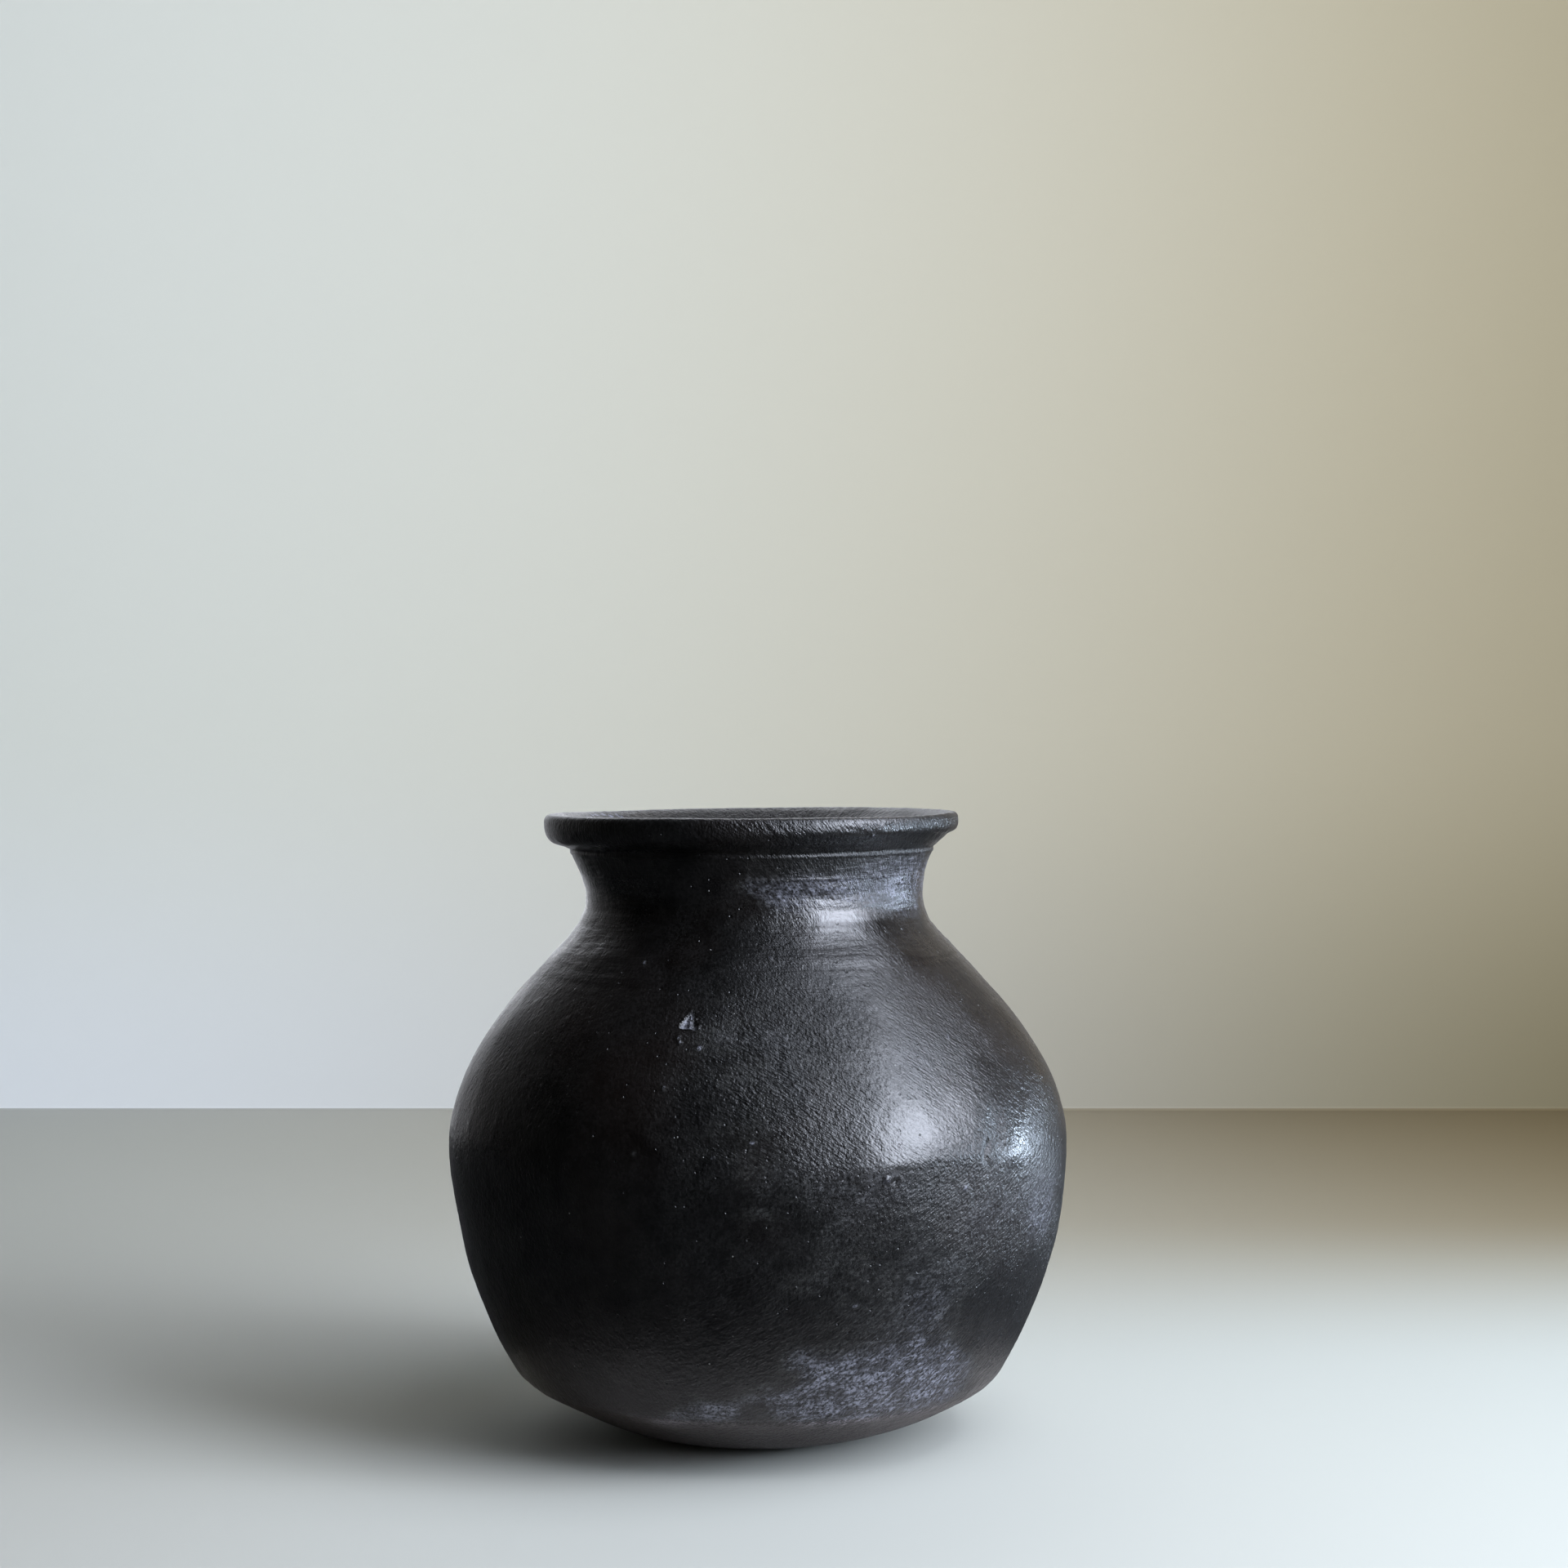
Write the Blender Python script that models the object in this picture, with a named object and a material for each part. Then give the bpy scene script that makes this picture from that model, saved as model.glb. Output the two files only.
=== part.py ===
"""A burnished black clay pot: six hand-formed clay members, luted together with bevelled joints.

The pot stands on a small flat spot under a shallow moulded dish. A wall stands on the dish's edge and rises
to the belly. Another closes over the shoulder, a collar draws in to the neck, a coil flares out again, and a
thick coil is rolled over its top as the rim. Above the dish each joint is a cone, so every ring centres
itself on the one below. The gap left between two joint faces is the layer of slip that luted them.

Frame: metres, +Z up, origin at the centre of the flat spot on which the pot rests.
Run with: blender --background --python part.py
"""

import math

import bmesh
import bpy
from mathutils import Vector

MM = 0.001

# Driving dimensions, in millimetres.
REST_RADIUS = 40.0
FOOT_RADIUS = 117.4
FOOT_HEIGHT = 28.0
BELLY_HEIGHT = 143.0
SHOULDER_SEAM_HEIGHT = 230.0
FLARE_SEAM_HEIGHT = 271.0
RIM_CREASE_HEIGHT = 283.4
RIM_RADIUS = 101.0
CREST_HEIGHT = 299.8

# Radius of the outside at a few heights, from the foot line to the crease under the rim.
OUTLINE = (
    (FOOT_HEIGHT, FOOT_RADIUS),
    (56.0, 131.7),
    (92.0, 144.1),
    (BELLY_HEIGHT, 151.0),
    (172.0, 144.4),
    (200.0, 127.4),
    (SHOULDER_SEAM_HEIGHT, 101.1),
    (246.0, 87.1),
    (258.0, 82.4),
    (FLARE_SEAM_HEIGHT, 84.0),
    (RIM_CREASE_HEIGHT, 89.0),
)

WALL = 8.0
SLIP_GAP = 0.45
# How much lower a joint sits at the inside of the wall than at the outside.
BEVEL = 7.0

# The dish: its thickness in the middle, the power of its curve, and where its inside ends at the joint,
# as a share of the way from the flat spot to the foot line.
DISH_WALL = 10.0
DISH_CURVE = 1.86
DISH_JOINT = 0.86

# The rolled rim, as (radius, height): the cove above the crease, and the funnel down to the throat.
RIM_COVE = ((91.4, 285.2), (94.9, 287.0))
RIM_FUNNEL = ((93.8, 298.1), (88.2, 294.4))
ROLL_ROUND = 6.0
ROLL_HEIGHT = 294.4
CREST_ROUND = 2.6

# The neck was set a little off the belly's axis, to -X, and the rim rises by this share of X to the other side.
LEAN = 3.6
LEAN_FROM = 165.0
RIM_RISE = 0.008

SEGMENTS = 64


def blend(t):
    """Smooth step from 0 to 1."""
    t = min(1.0, max(0.0, t))
    return t * t * (3.0 - 2.0 * t)


def slope_at(i):
    """Slope dr/dz of the outline at station i, from its neighbours."""
    low = OUTLINE[max(0, i - 1)]
    high = OUTLINE[min(len(OUTLINE) - 1, i + 1)]
    return (high[1] - low[1]) / (high[0] - low[0])


def wall_point(z):
    """Outside of the wall at height z: a cubic through the stations of OUTLINE."""
    i = 0
    while i < len(OUTLINE) - 2 and z > OUTLINE[i + 1][0]:
        i += 1
    (z0, r0), (z1, r1) = OUTLINE[i], OUTLINE[i + 1]
    span = z1 - z0
    t = (z - z0) / span
    start = (1.0 + 2.0 * t) * (1.0 - t) ** 2 * r0 + t * (1.0 - t) ** 2 * span * slope_at(i)
    end = t * t * (3.0 - 2.0 * t) * r1 + t * t * (t - 1.0) * span * slope_at(i + 1)
    return Vector((start + end, z))


def dish_point(u):
    """Outside of the dish, from the edge of the flat spot (u = 0) to the foot line (u = 1)."""
    return Vector((REST_RADIUS + (FOOT_RADIUS - REST_RADIUS) * u, FOOT_HEIGHT * u**DISH_CURVE))


def offset(curve, at, depth, step):
    """The point of a curve at a place along it, moved inwards, square to the curve, by depth."""
    along = curve(at + step) - curve(at - step)
    along.normalize()
    return curve(at) + Vector((-along.y, along.x)) * depth


def inner_wall_point(z):
    return offset(wall_point, z, WALL, 0.5)


def inner_dish_point(u):
    depth = DISH_WALL + (WALL - DISH_WALL) * blend(u)
    return offset(dish_point, u, depth, 0.01)


def run(curve, start, end, steps):
    """Points of a curve from start to end, both ends included."""
    return [curve(start + (end - start) * i / steps) for i in range(steps + 1)]


def arc(centre, radius, start, end, steps):
    """Points of an arc between two angles in degrees, where 0 points outwards and 90 up."""
    points = []
    for i in range(steps + 1):
        angle = math.radians(start + (end - start) * i / steps)
        points.append(Vector(centre) + radius * Vector((math.cos(angle), math.sin(angle))))
    return points


def base_dish_section():
    """The moulded dish, solid across the middle, with a nearly level joint face round its edge."""
    outside = run(dish_point, 0.0, 1.0, 9)
    inside = run(inner_dish_point, DISH_JOINT, 0.02, 7)
    return [Vector((0.0, 0.0))] + outside + inside + [Vector((0.0, inside[-1].y))]


def lower_wall_section():
    """The wall from the dish's edge to the belly, with a fillet of clay inside, over the dish's joint."""
    outside = run(wall_point, FOOT_HEIGHT + SLIP_GAP, BELLY_HEIGHT - SLIP_GAP / 2, 9)
    inside = run(inner_wall_point, BELLY_HEIGHT - BEVEL - SLIP_GAP / 2, FOOT_HEIGHT + BEVEL, 8)
    fillet_foot = inner_dish_point(DISH_JOINT) + Vector((0.0, SLIP_GAP))
    return outside + inside + [fillet_foot]


def ring_section(low, high, low_bevel, high_bevel, steps):
    """A ring of wall between two joints. A bevel below zero makes a joint sit higher at the inside."""
    outside = run(wall_point, low + SLIP_GAP / 2, high - SLIP_GAP / 2, steps)
    inside_top = high - high_bevel - SLIP_GAP / 2
    inside_foot = low - low_bevel + SLIP_GAP / 2
    return outside + run(inner_wall_point, inside_top, inside_foot, steps)


def rim_section():
    """The rolled rim: a cove above the crease, a rounded outer face, a crest, and a funnel inside."""
    crease = wall_point(RIM_CREASE_HEIGHT + SLIP_GAP / 2)
    roll = arc((RIM_RADIUS - ROLL_ROUND, ROLL_HEIGHT), ROLL_ROUND, -56.0, 0.0, 4)
    crest = arc((RIM_RADIUS - CREST_ROUND, CREST_HEIGHT - CREST_ROUND), CREST_ROUND, 0.0, 100.0, 4)
    throat = inner_wall_point(RIM_CREASE_HEIGHT + BEVEL / 2 + SLIP_GAP / 2)
    cove = [Vector(point) for point in RIM_COVE]
    funnel = [Vector(point) for point in RIM_FUNNEL]
    return [crease] + cove + roll + crest + funnel + [throat]


def lean_and_rise(point):
    """Moves a point, in metres, the way the pot leans above its belly."""
    share = blend((point.z / MM - LEAN_FROM) / (RIM_CREASE_HEIGHT - LEAN_FROM))
    return Vector((point.x - LEAN * MM * share, point.y, point.z + RIM_RISE * share * point.x))


def clay(name, colour, roughness):
    material = bpy.data.materials.new(name)
    material.use_nodes = True
    shader = material.node_tree.nodes["Principled BSDF"]
    shader.inputs["Base Color"].default_value = (*colour, 1.0)
    shader.inputs["Roughness"].default_value = roughness
    shader.inputs["Metallic"].default_value = 0.25
    return material


def turned(name, section, material):
    """Spins a cross-section about the Z axis, joins the seam, and leans the result."""
    shape = bmesh.new()
    corners = [shape.verts.new((p.x * MM, 0.0, p.y * MM)) for p in section]
    edges = [shape.edges.new(pair) for pair in zip(corners, corners[1:])]
    if section[0].x > 0.0:
        edges.append(shape.edges.new((corners[-1], corners[0])))
    bmesh.ops.spin(
        shape,
        geom=corners + edges,
        cent=(0.0, 0.0, 0.0),
        axis=(0.0, 0.0, 1.0),
        angle=math.tau,
        steps=SEGMENTS,
        use_merge=True,
    )
    bmesh.ops.remove_doubles(shape, verts=shape.verts, dist=1e-6)
    bmesh.ops.recalc_face_normals(shape, faces=shape.faces)
    for corner in shape.verts:
        corner.co = lean_and_rise(corner.co)
    mesh = bpy.data.meshes.new(name)
    shape.to_mesh(mesh)
    shape.free()
    mesh.materials.append(material)
    mesh.shade_smooth()
    mesh.set_sharp_from_angle(angle=math.radians(35.0))
    made = bpy.data.objects.new(name, mesh)
    bpy.context.scene.collection.objects.link(made)


def build():
    for old in list(bpy.data.objects):
        bpy.data.objects.remove(old)
    burnished = (0.030, 0.030, 0.034)
    smoked = (0.022, 0.021, 0.022)
    shoulder = ring_section(BELLY_HEIGHT, SHOULDER_SEAM_HEIGHT, BEVEL, BEVEL, 8)
    neck = ring_section(SHOULDER_SEAM_HEIGHT, FLARE_SEAM_HEIGHT, BEVEL, BEVEL / 2, 7)
    flare = ring_section(FLARE_SEAM_HEIGHT, RIM_CREASE_HEIGHT, BEVEL / 2, -BEVEL / 2, 4)
    turned("base_dish", base_dish_section(), clay("dish_clay", smoked, 0.55))
    turned("lower_wall", lower_wall_section(), clay("lower_wall_clay", burnished, 0.42))
    turned("shoulder_wall", shoulder, clay("shoulder_clay", burnished, 0.40))
    turned("neck_collar", neck, clay("neck_clay", burnished, 0.42))
    turned("flare_coil", flare, clay("flare_clay", smoked, 0.50))
    turned("rim_coil", rim_section(), clay("rim_clay", burnished, 0.38))


build()
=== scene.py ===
"""The visible model of a burnished black clay pot, with its floor, backdrop, light and camera.

The pot's surface is one turned outline with a hand-made relief laid over it. Each clay member of the CAD
frame is replaced by the stretch of that surface between its two joints, as a closed ring of its own. Shapes
are worked out in millimetres and turned into metres when a mesh is made. Angles round the pot are in degrees,
0 towards -Y and 90 towards +X. The materials and the stage are in metres.
"""
import itertools
import math

import bpy
import numpy as np
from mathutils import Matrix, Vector


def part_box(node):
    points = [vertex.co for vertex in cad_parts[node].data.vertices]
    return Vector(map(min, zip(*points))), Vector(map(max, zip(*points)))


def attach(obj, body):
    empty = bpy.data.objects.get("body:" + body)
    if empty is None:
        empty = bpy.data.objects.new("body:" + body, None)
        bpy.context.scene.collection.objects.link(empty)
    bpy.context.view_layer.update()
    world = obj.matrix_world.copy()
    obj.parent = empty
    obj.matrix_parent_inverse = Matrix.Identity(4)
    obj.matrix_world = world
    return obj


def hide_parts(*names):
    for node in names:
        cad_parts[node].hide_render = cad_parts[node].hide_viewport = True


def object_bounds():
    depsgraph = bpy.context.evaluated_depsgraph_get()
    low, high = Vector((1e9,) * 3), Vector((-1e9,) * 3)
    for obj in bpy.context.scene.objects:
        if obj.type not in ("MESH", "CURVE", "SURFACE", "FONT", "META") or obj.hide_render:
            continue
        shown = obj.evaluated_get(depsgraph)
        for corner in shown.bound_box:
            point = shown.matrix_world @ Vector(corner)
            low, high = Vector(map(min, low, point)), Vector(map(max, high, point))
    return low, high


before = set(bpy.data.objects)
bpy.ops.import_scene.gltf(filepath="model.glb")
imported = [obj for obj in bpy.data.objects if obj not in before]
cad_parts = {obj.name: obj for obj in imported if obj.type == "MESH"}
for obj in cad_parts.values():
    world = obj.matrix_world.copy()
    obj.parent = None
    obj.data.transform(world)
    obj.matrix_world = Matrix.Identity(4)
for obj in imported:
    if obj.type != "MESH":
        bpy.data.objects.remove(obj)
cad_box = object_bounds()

MM = 0.001

# ---------------------------------------------------------------- landmarks, from the frame


def top_of(node):
    """Height of the node's highest point, in millimetres."""
    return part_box(node)[1].z / MM


def half_width(node):
    """Half of the node's width along X, in millimetres."""
    low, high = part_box(node)
    return (high.x - low.x) / 2 / MM


# What the nodes' boxes don't give. The foot line and the crease lie inside a node's height, and the flare is
# narrower than the foot of its collar. The rim slopes, so the upper nodes' tops stand above their middles.
FOOT_HEIGHT = 28.0
FLARE_RADIUS = 84.0
CREASE_HEIGHT = 283.4
SLOPE_RISE = 0.6

# Landmarks of the outside, as (radius, height).
FOOT = (half_width("base_dish"), FOOT_HEIGHT)
BELLY = (half_width("lower_wall"), top_of("lower_wall"))
SHOULDER = (half_width("neck_collar"), top_of("shoulder_wall"))
FLARE = (FLARE_RADIUS, top_of("neck_collar") - SLOPE_RISE)
CREASE = (half_width("flare_coil"), CREASE_HEIGHT)
RIM = (half_width("rim_coil"), cad_box[1].z / MM - SLOPE_RISE)

# The neck stands this far off the belly's axis, to -X. The rim rises by a share of X to the other side, and
# the waist of the neck bulges back a little.
LEAN = -(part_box("rim_coil")[0].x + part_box("rim_coil")[1].x) / 2 / MM
LEAN_FROM = 165.0
RIM_RISE = 0.008
WAIST_HEIGHT = 258.0
WAIST_BULGE = 0.9
WAIST_REACH = 12.0

# The dish under the body: its flat spot, the power of its curve, and its thickness. The wall is thinner.
REST_RADIUS = 40.0
DISH_CURVE = 1.86
DISH_WALL = 10.0
WALL = 8.0

# The outside of the wall, from the foot to the crease under the rim, as (radius, height).
OUTLINE = (
    FOOT,
    (131.7, 56.0),
    (144.1, 92.0),
    BELLY,
    (144.4, 172.0),
    (127.4, 200.0),
    SHOULDER,
    (87.1, 246.0),
    (82.4, WAIST_HEIGHT),
    FLARE,
    CREASE,
)

# The rim's section, as (radius, height): the cove above the crease, and the funnel down to the throat. Two
# arcs join them, the roll's lower half and the crest.
RIM_COVE = ((91.4, 285.4), (94.9, 287.0))
RIM_FUNNEL = ((93.8, 298.2), (88.4, 294.7), (83.2, 289.6))
ROLL_ROUND = 6.0
ROLL_DROP = 5.4
CREST_ROUND = 2.8

# Distance between the points of the worked-out outline, and how many rounds soften its corners.
STEP = 0.25
OUTSIDE_ROUNDS = 380
INSIDE_ROUNDS = 200

# ---------------------------------------------------------------- noise


def lattice(cell, seed):
    """A repeatable pseudo-random number from -1 to 1 for each whole-number point."""
    x, y, z = (cell[..., k].astype(np.uint32) for k in range(3))
    h = x * np.uint32(73856093) ^ y * np.uint32(19349663) ^ z * np.uint32(83492791)
    h ^= np.uint32(seed * 2654435761 % 2**32)
    h = (h ^ (h >> np.uint32(15))) * np.uint32(2246822519)
    h = (h ^ (h >> np.uint32(13))) * np.uint32(3266489917)
    h ^= h >> np.uint32(16)
    return h.astype(np.float32) / np.float32(2**31) - np.float32(1)


def noise(points, size, seed):
    """Smooth noise from -1 to 1, its lumps about size apart."""
    q = (points / size).astype(np.float32)
    cell = np.floor(q)
    f = q - cell
    cell = cell.astype(np.int32)
    w = f * f * f * (f * (f * 6 - 15) + 10)
    total = np.zeros(len(points), np.float32)
    for corner in itertools.product((0, 1), repeat=3):
        share = np.prod(np.where(corner, w, 1 - w), axis=1)
        total += share * lattice(cell + np.array(corner, np.int32), seed)
    return total


def cloud(points, size, seed, octaves=3):
    """Noise at size, plus finer noise of half the size and half the strength, and so on."""
    return sum(noise(points, size / 2**k, seed + k) / 2**k for k in range(octaves))


def bell(x, middle, width):
    """1 at the middle, falling smoothly to 0 over about twice the width."""
    return np.exp(-(((x - middle) / width) ** 2))


def ramp(x, low, high):
    """0 below low, 1 above high, smooth between."""
    t = np.clip((x - low) / (high - low), 0, 1)
    return t * t * (3 - 2 * t)


def gap(angle, other):
    """Signed difference of two angles, from -180 to 180."""
    return (angle - other + 180) % 360 - 180


# ---------------------------------------------------------------- the outline


def wall_radius(z):
    """Radius of the outside of the wall: a cubic through OUTLINE."""
    r, h = np.array(OUTLINE).T
    slope = np.empty(len(h))
    slope[1:-1] = (r[2:] - r[:-2]) / (h[2:] - h[:-2])
    slope[0] = (r[1] - r[0]) / (h[1] - h[0])
    slope[-1] = (r[-1] - r[-2]) / (h[-1] - h[-2])
    i = np.clip(np.searchsorted(h, z) - 1, 0, len(h) - 2)
    span = h[i + 1] - h[i]
    t = (z - h[i]) / span
    start = (1 + 2 * t) * (1 - t) ** 2 * r[i] + t * (1 - t) ** 2 * span * slope[i]
    end = t * t * (3 - 2 * t) * r[i + 1] + t * t * (t - 1) * span * slope[i + 1]
    return start + end


def arc(centre, radius, start, end):
    """Points of an arc between two angles, where 0 points outwards and 90 up."""
    angle = np.radians(np.linspace(start, end, 24))
    return np.column_stack((centre[0] + radius * np.cos(angle), centre[1] + radius * np.sin(angle)))


def evenly(line, step):
    """The line with its points step apart."""
    along = np.concatenate(([0], np.cumsum(np.hypot(*np.diff(line, axis=0).T))))
    at = np.linspace(0, along[-1], int(along[-1] / step) + 1)
    return np.column_stack([np.interp(at, along, line[:, k]) for k in range(2)])


def relaxed(line, strength, rounds):
    """The line with its corners rounded, by as much as strength says at each point."""
    line = line.copy()
    for _ in range(rounds):
        line[1:-1] += strength[1:-1, None] * ((line[:-2] + line[2:]) / 2 - line[1:-1]) / 2
    return line


def inwards(line):
    """Unit vectors square to the line, to the left of its direction."""
    along = np.gradient(line, axis=0)
    along /= np.hypot(*along.T)[:, None]
    return np.column_stack((-along[:, 1], along[:, 0]))


def outside_line():
    """From the middle of the flat spot, up the outside, over the crest and down the funnel to the throat."""
    flat = np.array([(0.0, 0.0), (REST_RADIUS, 0.0)])
    u = np.linspace(0, 1, 400)
    dish = np.column_stack((REST_RADIUS + (FOOT[0] - REST_RADIUS) * u, FOOT[1] * u**DISH_CURVE))
    heights = np.arange(FOOT[1], CREASE[1], STEP)
    wall = np.column_stack((wall_radius(heights), heights))
    cove = np.array([CREASE, *RIM_COVE])
    roll = arc((RIM[0] - ROLL_ROUND, RIM[1] - ROLL_DROP), ROLL_ROUND, -56, 0)
    crest = arc((RIM[0] - CREST_ROUND, RIM[1] - CREST_ROUND), CREST_ROUND, 0, 105)
    line = evenly(np.concatenate((flat, dish, wall, cove, roll, crest, np.array(RIM_FUNNEL))), STEP)
    r, z = line.T
    # The rim keeps most of its corners, and the flat spot keeps its edge.
    strength = 1.0 - 0.93 * ramp(z, CREASE[1] - 4, CREASE[1])
    low = r < REST_RADIUS + 6
    strength[low] *= ramp(r[low], REST_RADIUS - 3, REST_RADIUS + 6)
    return relaxed(line, strength, OUTSIDE_ROUNDS)


def inside_line(outside):
    """From the throat down the inside of the wall to the middle of the dish."""
    r, z = outside.T
    last = np.argmax(z > CREASE[1])
    first = np.argmax(r > REST_RADIUS - 4)
    body = outside[first:last]
    depth = WALL + (DISH_WALL - WALL) * (1 - ramp(body[:, 0], REST_RADIUS, FOOT[0]))
    depth[body[:, 1] > FOOT[1]] = WALL
    shell = body + inwards(body) * depth[:, None]
    middle = np.array([(0.0, DISH_WALL)])
    line = evenly(np.concatenate((middle, shell, outside[-1:]))[::-1], STEP)
    return relaxed(line, np.full(len(line), 0.9), INSIDE_ROUNDS)


class Line:
    """A smooth line of (radius, height), with its outward normals and the distance along it."""

    def __init__(self, points):
        self.points = points
        self.normals = -inwards(points)
        steps = np.hypot(*np.diff(points, axis=0).T)
        self.along = np.concatenate(([0], np.cumsum(steps)))

    def at_height(self, height):
        """Distance along the line at which it first passes a height."""
        z = self.points[:, 1] - height
        return self.along[np.argmax(z[:-1] * z[1:] <= 0)]

    def sample(self, at):
        """Radius, height and normal at distances along the line."""
        values = [np.interp(at, self.along, v) for v in (*self.points.T, *self.normals.T)]
        return np.column_stack(values)


def spaced(start, end, coarse, fine, lines, reach):
    """Distances from start to end, coarse apart, but fine apart within reach of any of the lines."""
    at = np.linspace(start, end, 4000)
    near = sum(bell(at, line, reach) for line in lines) if lines else np.zeros_like(at)
    density = 1 / coarse + np.clip(near, 0, 1) * (1 / fine - 1 / coarse)
    total = np.concatenate(([0], np.cumsum((density[1:] + density[:-1]) / 2 * np.diff(at))))
    count = max(2, int(math.ceil(total[-1])) + 1)
    return np.interp(np.linspace(0, total[-1], count), total, at)


OUT = Line(outside_line())
IN = Line(inside_line(OUT.points))

# ---------------------------------------------------------------- the relief

# Noise laid over the surface, each as depth, lump size, seed, and the squeeze of the place it is read at. An
# axis with a small number is drawn out, so a small X and Y make level streaks.
EVEN = (1, 1, 1)
LAYERS = {
    "lumps": (0.80, 78.0, 1, EVEN),
    "grain": (0.07, 1.9, 10, (1, 1, 0.8)),
    "scraping": (0.06, 3.6, 11, (1, 1, 0.6)),
    "ripple": (0.05, 7.0, 12, (1, 1, 0.35)),
    "wiped_fine": (0.12, 1.8, 14, (0.06, 0.06, 1)),
    "wiped_broad": (0.20, 4.2, 15, (0.04, 0.04, 1)),
    "wrinkles": (0.110, 1.6, 31, (1, 1, 0.35)),
    "wrinkles_broad": (0.066, 3.2, 32, (1, 1, 0.6)),
    "finger_lines": (0.50, 11.0, 41, (0.10, 0.10, 1)),
    "finger_dents": (0.70, 24.0, 42, EVEN),
    "inside_grain": (0.12, 3.0, 43, EVEN),
}
SMALL_LUMPS = 0.42
STROKE_DEPTH = 0.10
STROKE_SIZE = 1.8
STROKE_SEED = 9

# The rubbing strokes show round this angle. Above the belly they fall to the right, and below it they rise.
STROKE_SIDE = math.radians(50.0)
STROKE_SLOPE = 0.9
STROKE_STRETCH = 0.45
STROKE_TURN = (138.0, 156.0)

# Level lines round the pot, as height, half width, rise, whether the rise wanders, and whether only the front
# has the line.
RINGS = (
    (FOOT[1] + 0.3, 0.9, -0.30, True, False),
    (SHOULDER[1] - 14.0, 0.8, 0.12, True, True),
    (SHOULDER[1] - 0.6, 0.8, 0.16, True, True),
    (FLARE[1] + 0.3, 0.7, 0.24, True, True),
    (FLARE[1] + 1.6, 0.9, -0.08, True, False),
    (CREASE[1] - 1.7, 0.8, 0.34, False, False),
    (CREASE[1] - 0.1, 0.8, -0.45, False, False),
)

# The belly's scraped edge, as (angle, height), along which the surface turns sharply.
BELLY_EDGE = (
    (-40.0, 141.0), (5.0, 142.5), (18.0, 145.0), (25.0, 148.0),
    (32.0, 149.6), (43.0, 149.2), (52.0, 146.0), (75.0, 144.0),
)
EDGE_RISE = 1.05

# The crack across that edge and the dent beside it, each as angle, half width, height, reach up and down, and
# depth. BELLY_DEGREE is the distance that a degree spans there.
CRACK = (43.4, 1.5, 150.5, 6.0, 1.0)
DENT = (47.0, 7.0, 158.0, 12.0, 0.9)
BELLY_DEGREE = 2.6

# The scratch across the rim, as angle, height and depth.
SCRATCH = (30.0, 291.5, 0.25)

# The spalled flake on the left shoulder, as (angle, height), how far its three sides are from there, and the
# directions they face, in radians.
CHIP = (-13.8, 209.0)
CHIP_SIZE = 3.4
CHIP_SIDES = (0.50, 2.64, 4.71)

# Raised crumbs of clay and small pits, as (angle, height, radius, rise).
CRUMBS = (
    (-15.6, 202.6, 0.8, 0.7),
    (-15.1, 200.6, 0.7, 0.8),
    (-11.0, 198.6, 1.0, 0.5),
    (-16.9, 181.5, 0.9, 0.7),
    (-21.0, 153.5, 0.8, 0.4),
    (-7.3, 153.0, 0.9, 0.7),
    (-0.6, 159.4, 0.8, 0.4),
    (34.8, 291.0, 0.8, 0.7),
    (15.1, 142.9, 1.1, -0.6),
    (22.3, 141.9, 1.4, 0.5),
    (24.0, 141.0, 1.2, -0.6),
    (38.5, 135.0, 1.3, 0.5),
    (35.5, 137.0, 1.0, -0.4),
    (17.9, 85.0, 0.8, 0.4),
    (44.0, 200.0, 1.1, 0.5),
    (-30.0, 233.0, 0.8, 0.5),
    (5.0, 236.0, 0.8, 0.5),
    (140.0, 190.0, 1.2, 0.7),
    (170.0, 120.0, 1.0, 0.6),
    (-120.0, 210.0, 1.1, 0.7),
    (-150.0, 90.0, 1.0, 0.6),
    (100.0, 240.0, 0.9, 0.5),
)
CRUMB_RISE = 1.4


def layer(name, place):
    """One of LAYERS, read at a place, in millimetres."""
    depth, size, seed, squeeze = LAYERS[name]
    return depth * noise(place * squeeze, size, seed)


def polished(angle, z):
    """Share of the extra rubbing that the right of the belly's upper half has had."""
    return bell(gap(angle, 32.0), 0, 14.0) * bell(z, 161.0, 13.0)


def wiped_share(z):
    """How far a height shows the level lines that a wet cloth left round the neck."""
    above_flare = 1 - 0.6 * ramp(z, FLARE[1] - 2, FLARE[1] + 3)
    return ramp(z, 206.0, 238.0) * above_flare * (1 - ramp(z, 276.0, 281.0))


def across_from(angle, middle, points):
    """Distance round the pot from the middle angle, in millimetres, to the right."""
    return np.radians(gap(angle, middle)) * np.hypot(points[:, 0], points[:, 1])


def crumb_sum(angle, z, points, amount):
    """Sum over the crumbs of amount(rise) times a round spot of the crumb's size."""
    total = np.zeros_like(z)
    for at, height, size, rise in CRUMBS:
        distance = np.hypot(across_from(angle, at, points), z - height) / size
        total += amount(rise) * np.exp(-(distance**3))
    return total


def crumb_relief(angle, z, points):
    return crumb_sum(angle, z, points, lambda rise: CRUMB_RISE * rise)


def crumb_share(angle, z, points):
    """1 on a raised crumb, which is paler than the clay round it."""
    return crumb_sum(angle, z, points, lambda rise: float(rise > 0))


def chip_share(angle, z, points):
    """1 well inside the spalled spot, which is a ragged triangle about 10 mm high, and 0 outside."""
    x = across_from(angle, CHIP[0], points) + 0.6 * noise(points, 2.6, 71)
    y = z - CHIP[1] + 0.6 * noise(points, 2.6, 72)
    sides = [x * math.cos(a) + y * math.sin(a) for a in CHIP_SIDES]
    distance = np.sum(np.clip(sides, 0, None) ** 4, axis=0) ** 0.25
    return np.clip(1.0 - distance / CHIP_SIZE, 0, 1)


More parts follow.
